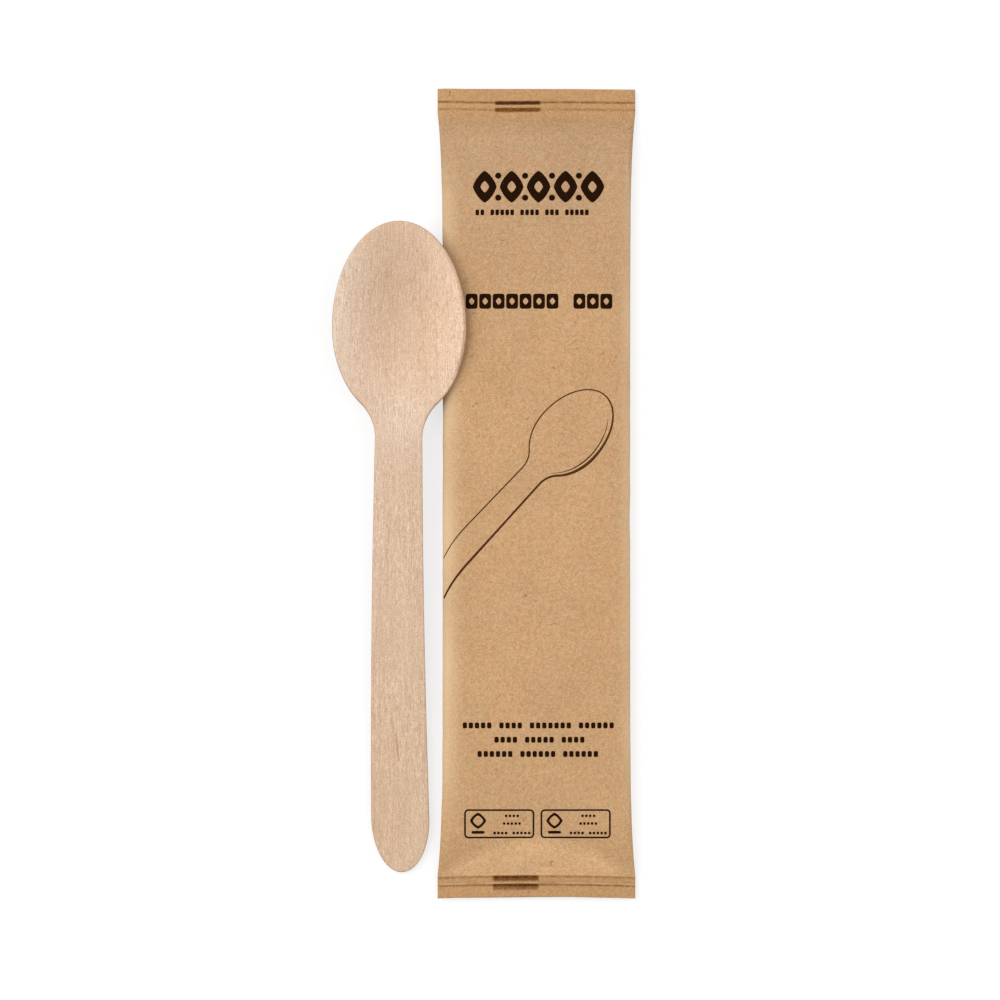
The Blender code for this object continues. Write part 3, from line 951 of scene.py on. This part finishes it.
class Print:
    """Flat dark shapes on the pack's front, with places in millimetres from the middle of the pack."""

    def __init__(self, form):
        self.form = form
        self.sheet = bmesh.new()
        self.thin = self.sheet.verts.layers.float.new("thin")

    def wrapped(self, x, y):
        """Where a place measured along the paper lies in plan, past the paper's turn at its left edge."""
        past = max(PRINT_TURN - x - self.form.half_width(y, -1.0), 0.0)
        return x + past * past * PRINT_CURL / PRINT_TURN

    def lay(self, x, y):
        """The place of a spot of ink, square to the paper and just clear of it."""
        x, y, step = self.wrapped(x * MM, y * MM), y * MM, 0.15 * MM
        front = self.form.front
        slope_x = (front(x + step, y) - front(x - step, y)) / (2 * step)
        slope_y = (front(x, y + step) - front(x, y - step)) / (2 * step)
        upright = Vector((-slope_x, -slope_y, 1.0)).normalized()
        return self.form.place(x, y, front(x, y)) + upright * INK_PROUD

    def stamp(self, x, y, half_x, half_y, squareness=5.0, hole=0.0):
        """A block, disc or lozenge, by its squareness, with or without a lozenge hole in its middle."""
        points, rings, hole_squareness = 32, 3, 1.35

        def round_place(turn, power):
            round_x = math.copysign(abs(math.cos(turn)) ** (2.0 / power), math.cos(turn))
            round_y = math.copysign(abs(math.sin(turn)) ** (2.0 / power), math.sin(turn))
            return Vector((half_x * round_x, half_y * round_y))

        def place(column, row):
            turn = 2.0 * math.pi * (column % points) / points
            outer = round_place(turn, squareness)
            inner = round_place(turn, hole_squareness) * hole
            spot = inner.lerp(outer, row / rings)
            return self.lay(x + spot.x, y + spot.y)

        grid_sheet(points, rings, place, self.sheet)

    def line(self, path, widths):
        """A line along a path of places, with its width at each."""
        steps = zip([path[0]] + path[:-1], path[1:] + [path[-1]])
        ways = [(after - before).normalized() for before, after in steps]
        if (path[0] - path[-1]).length < 1e-4:
            ways[0] = ways[-1] = (path[1] - path[-2]).normalized()

        def place(column, row):
            side = Vector((-ways[row].y, ways[row].x)) * (widths[row] * (column - 0.5))
            spot = path[row] + side
            return self.lay(spot.x, spot.y)

        grid_sheet(1, len(path) - 1, place, self.sheet)

    def row(self, x, y, height, groups, width, gap):
        """A row of even upright blocks in groups, centred on a place."""
        pitch = width + gap
        at = x - (pitch * (sum(groups) + len(groups) - 1) - gap) / 2
        for group in groups:
            for _ in range(group):
                self.stamp(at + width / 2, y, width / 2, height / 2, 4.0)
                at += pitch
            at += pitch

    def frame(self, x, y, half_x, half_y, corner, width):
        """A thin oblong frame with round corners."""
        path = []
        for number, (side_x, side_y) in enumerate(((1, 1), (-1, 1), (-1, -1), (1, -1))):
            middle = Vector((x + side_x * (half_x - corner), y + side_y * (half_y - corner)))
            for step in range(5):
                turn = math.pi / 2 * (number + step / 4)
                path.append(middle + Vector((math.cos(turn), math.sin(turn))) * corner)
        path.append(path[0])
        path = close_points(path, 0.8)
        self.line(path, [width] * len(path))

    def finished(self, look):
        """The ink as one piece, a thin skin whose underside is sunk in the paper."""
        bmesh.ops.remove_doubles(self.sheet, verts=self.sheet.verts, dist=0.002 * MM)
        bmesh.ops.recalc_face_normals(self.sheet, faces=self.sheet.faces)
        downward = [face for face in self.sheet.faces if face.normal.z < 0]
        bmesh.ops.reverse_faces(self.sheet, faces=downward)
        piece = add_piece("printed_ink", self.sheet, look)
        skin = piece.modifiers.new("skin", "SOLIDIFY")
        skin.thickness = INK_SKIN
        skin.offset = -1.0
        return piece


def print_ornament(draw):
    """A row of lozenges with dots between them, and a row of small blocks below."""
    x, y = ORNAMENT_PLACE
    for number in range(ORNAMENT_COUNT):
        at = x + (number - (ORNAMENT_COUNT - 1) / 2) * ORNAMENT_PITCH
        draw.stamp(at, y, *LOZENGE)
        if number < ORNAMENT_COUNT - 1:
            for side in (1, -1):
                draw.stamp(at + ORNAMENT_PITCH / 2, y + side * DOT_OFF, DOT_HALF, DOT_HALF, 2.0)
    draw.row(*SUBLINE)


def print_tiles(draw):
    """A row of square tiles with lozenge windows, in two groups."""
    x, y = TILE_PLACE
    for number in range(TILE_COUNT):
        if number != TILE_GAP:
            draw.stamp(x + (number - (TILE_COUNT - 1) / 2) * TILE_PITCH, y, *TILE)


def print_spoon(draw):
    """A plain outline of such a spoon at half size, running off the left edge, heavier on one side."""
    tip, way = Vector(DRAWN_TIP), Vector((math.cos(DRAWN_TURN), math.sin(DRAWN_TURN)))
    side = Vector((way.y, -way.x))
    edge = -draw.form.half_width(0.0, -1.0) / MM - DRAWN_OVERRUN

    def outline(hand, inset=0.0):
        """Half the outline, from the tip back along one side of the handle, up to the pack's edge."""
        turns = [math.pi / 2 * step / 32 for step in range(33)]
        alongs = [-step * 0.8 * MM for step in range(1, 150)]
        nose = [
            (hand * (BOWL_HALF * math.sin(turn) - inset), (BOWL_NOSE - inset) * math.cos(turn))
            for turn in turns
        ]
        rest = [(hand * (spoon_half_width(along) - inset), along) for along in alongs]
        spots = [tip + (side * x + way * (y - BOWL_NOSE)) * (DRAWN_SCALE / MM) for x, y in nose + rest]
        return [spot for spot in spots if spot.x > edge]

    known = len(draw.sheet.verts)
    upper, lower, inner = outline(-1.0), outline(1.0), outline(1.0, DRAWN_INSET)[14:58]
    draw.line(upper, [0.30] * len(upper))
    swell = [0.30 * bell(step - 38, 16) for step in range(len(lower))]
    draw.line(lower, [0.36 + share + 0.26 * step / len(lower) for step, share in enumerate(swell)])
    arch = [math.sin(math.pi * step / (len(inner) - 1)) for step in range(len(inner))]
    draw.line(inner, [0.06 + 0.26 * share for share in arch])
    for corner in list(draw.sheet.verts)[known:]:
        corner[draw.thin] = 1.0


def print_text(draw):
    """Three rows of even blocks where the pack tells what it holds."""
    height, width, gap = TEXT_BLOCK
    for x, y, groups in TEXT_ROWS:
        draw.row(x, y, height, groups, width, gap)


def print_badges(draw):
    """Two framed panels, each with a lozenge ring, a bar and rows of small blocks."""
    for x in BADGES_X:
        draw.frame(x, BADGE_Y, *BADGE_HALF, BADGE_CORNER, BADGE_LINE)
        for off_x, off_y, *shape in (BADGE_RING, BADGE_BAR):
            draw.stamp(x + off_x, BADGE_Y + off_y, *shape)
        for off_x, off_y, height, groups in BADGE_ROWS:
            draw.row(x + off_x, BADGE_Y + off_y, height, groups, *BADGE_BLOCK)


def make_print(form, look):
    """All the pack's printing, as plain shapes in dark ink."""
    draw = Print(form)
    print_ornament(draw)
    print_tiles(draw)
    print_spoon(draw)
    print_text(draw)
    print_badges(draw)
    return draw.finished(look)


def make_camera(form):
    """A long lens straight above, framed as the photograph is."""
    lens = bpy.data.cameras.new("camera")
    lens.lens = LENS
    lens.sensor_width = SENSOR
    lens.clip_end = 20.0
    camera = bpy.data.objects.new("camera", lens)
    shift_x, shift_y = VIEW_SHIFT
    distance = VIEW_WIDTH * LENS / SENSOR
    camera.location = (form.middle.x + shift_x, form.middle.y + shift_y, VIEW_HEIGHT + distance)
    bpy.context.scene.collection.objects.link(camera)
    bpy.context.scene.camera = camera


def make_lamp(name, place, power):
    """A square soft lamp that faces the part."""
    light = bpy.data.lights.new(name, "AREA")
    light.shape = "SQUARE"
    light.size = LAMP_SIZE
    light.energy = power
    lamp = bpy.data.objects.new(name, light)
    lamp.location = place
    lamp.rotation_euler = (-Vector(place)).to_track_quat("-Z", "Y").to_euler()
    bpy.context.scene.collection.objects.link(lamp)


def make_floor():
    """A plain white floor that keeps the part's shadow and looks white to the camera."""
    sheet = bmesh.new()
    bmesh.ops.create_grid(sheet, x_segments=1, y_segments=1, size=6.0)
    shape = bpy.data.meshes.new("floor")
    sheet.to_mesh(shape)
    sheet.free()
    floor = bpy.data.objects.new("floor", shape)
    floor.location.z = -FLOOR_GAP
    bpy.context.scene.collection.objects.link(floor)
    finish = Finish("white_floor")
    finish.feed(finish.shader.inputs["Base Color"], (FLOOR_GREY, FLOOR_GREY, FLOOR_GREY, 1.0))
    finish.feed(finish.shader.inputs["Roughness"], 1.0)
    finish.feed(finish.shader.inputs["Specular IOR Level"], 0.0)
    finish.feed(finish.shader.inputs["Emission Color"], (1.0, 1.0, 1.0, 1.0))
    finish.feed(finish.shader.inputs["Emission Strength"], finish.seen() * FLOOR_GLOW)
    shape.materials.append(finish.made)


def make_world():
    """Even white light from all round, and white behind everything."""
    world = bpy.data.worlds.new("studio")
    world.use_nodes = True
    bpy.context.scene.world = world
    background = world.node_tree.nodes["Background"]
    background.inputs["Color"].default_value = (1.0, 1.0, 1.0, 1.0)
    tree = Tree(world.node_tree)
    tree.feed(background.inputs["Strength"], WORLD_LIGHT + tree.seen() * (1.0 - WORLD_LIGHT))


pack_form = PackForm()
make_camera(pack_form)
make_world()
make_floor()
for lamp_row in LAMPS:
    make_lamp(*lamp_row)
bpy.context.scene.view_settings.view_transform = "Standard"

make_spoon(birch_wood(spoon_placement().translation))
make_pack(pack_form, kraft_paper(pack_form.middle))
make_print(pack_form, print_ink())
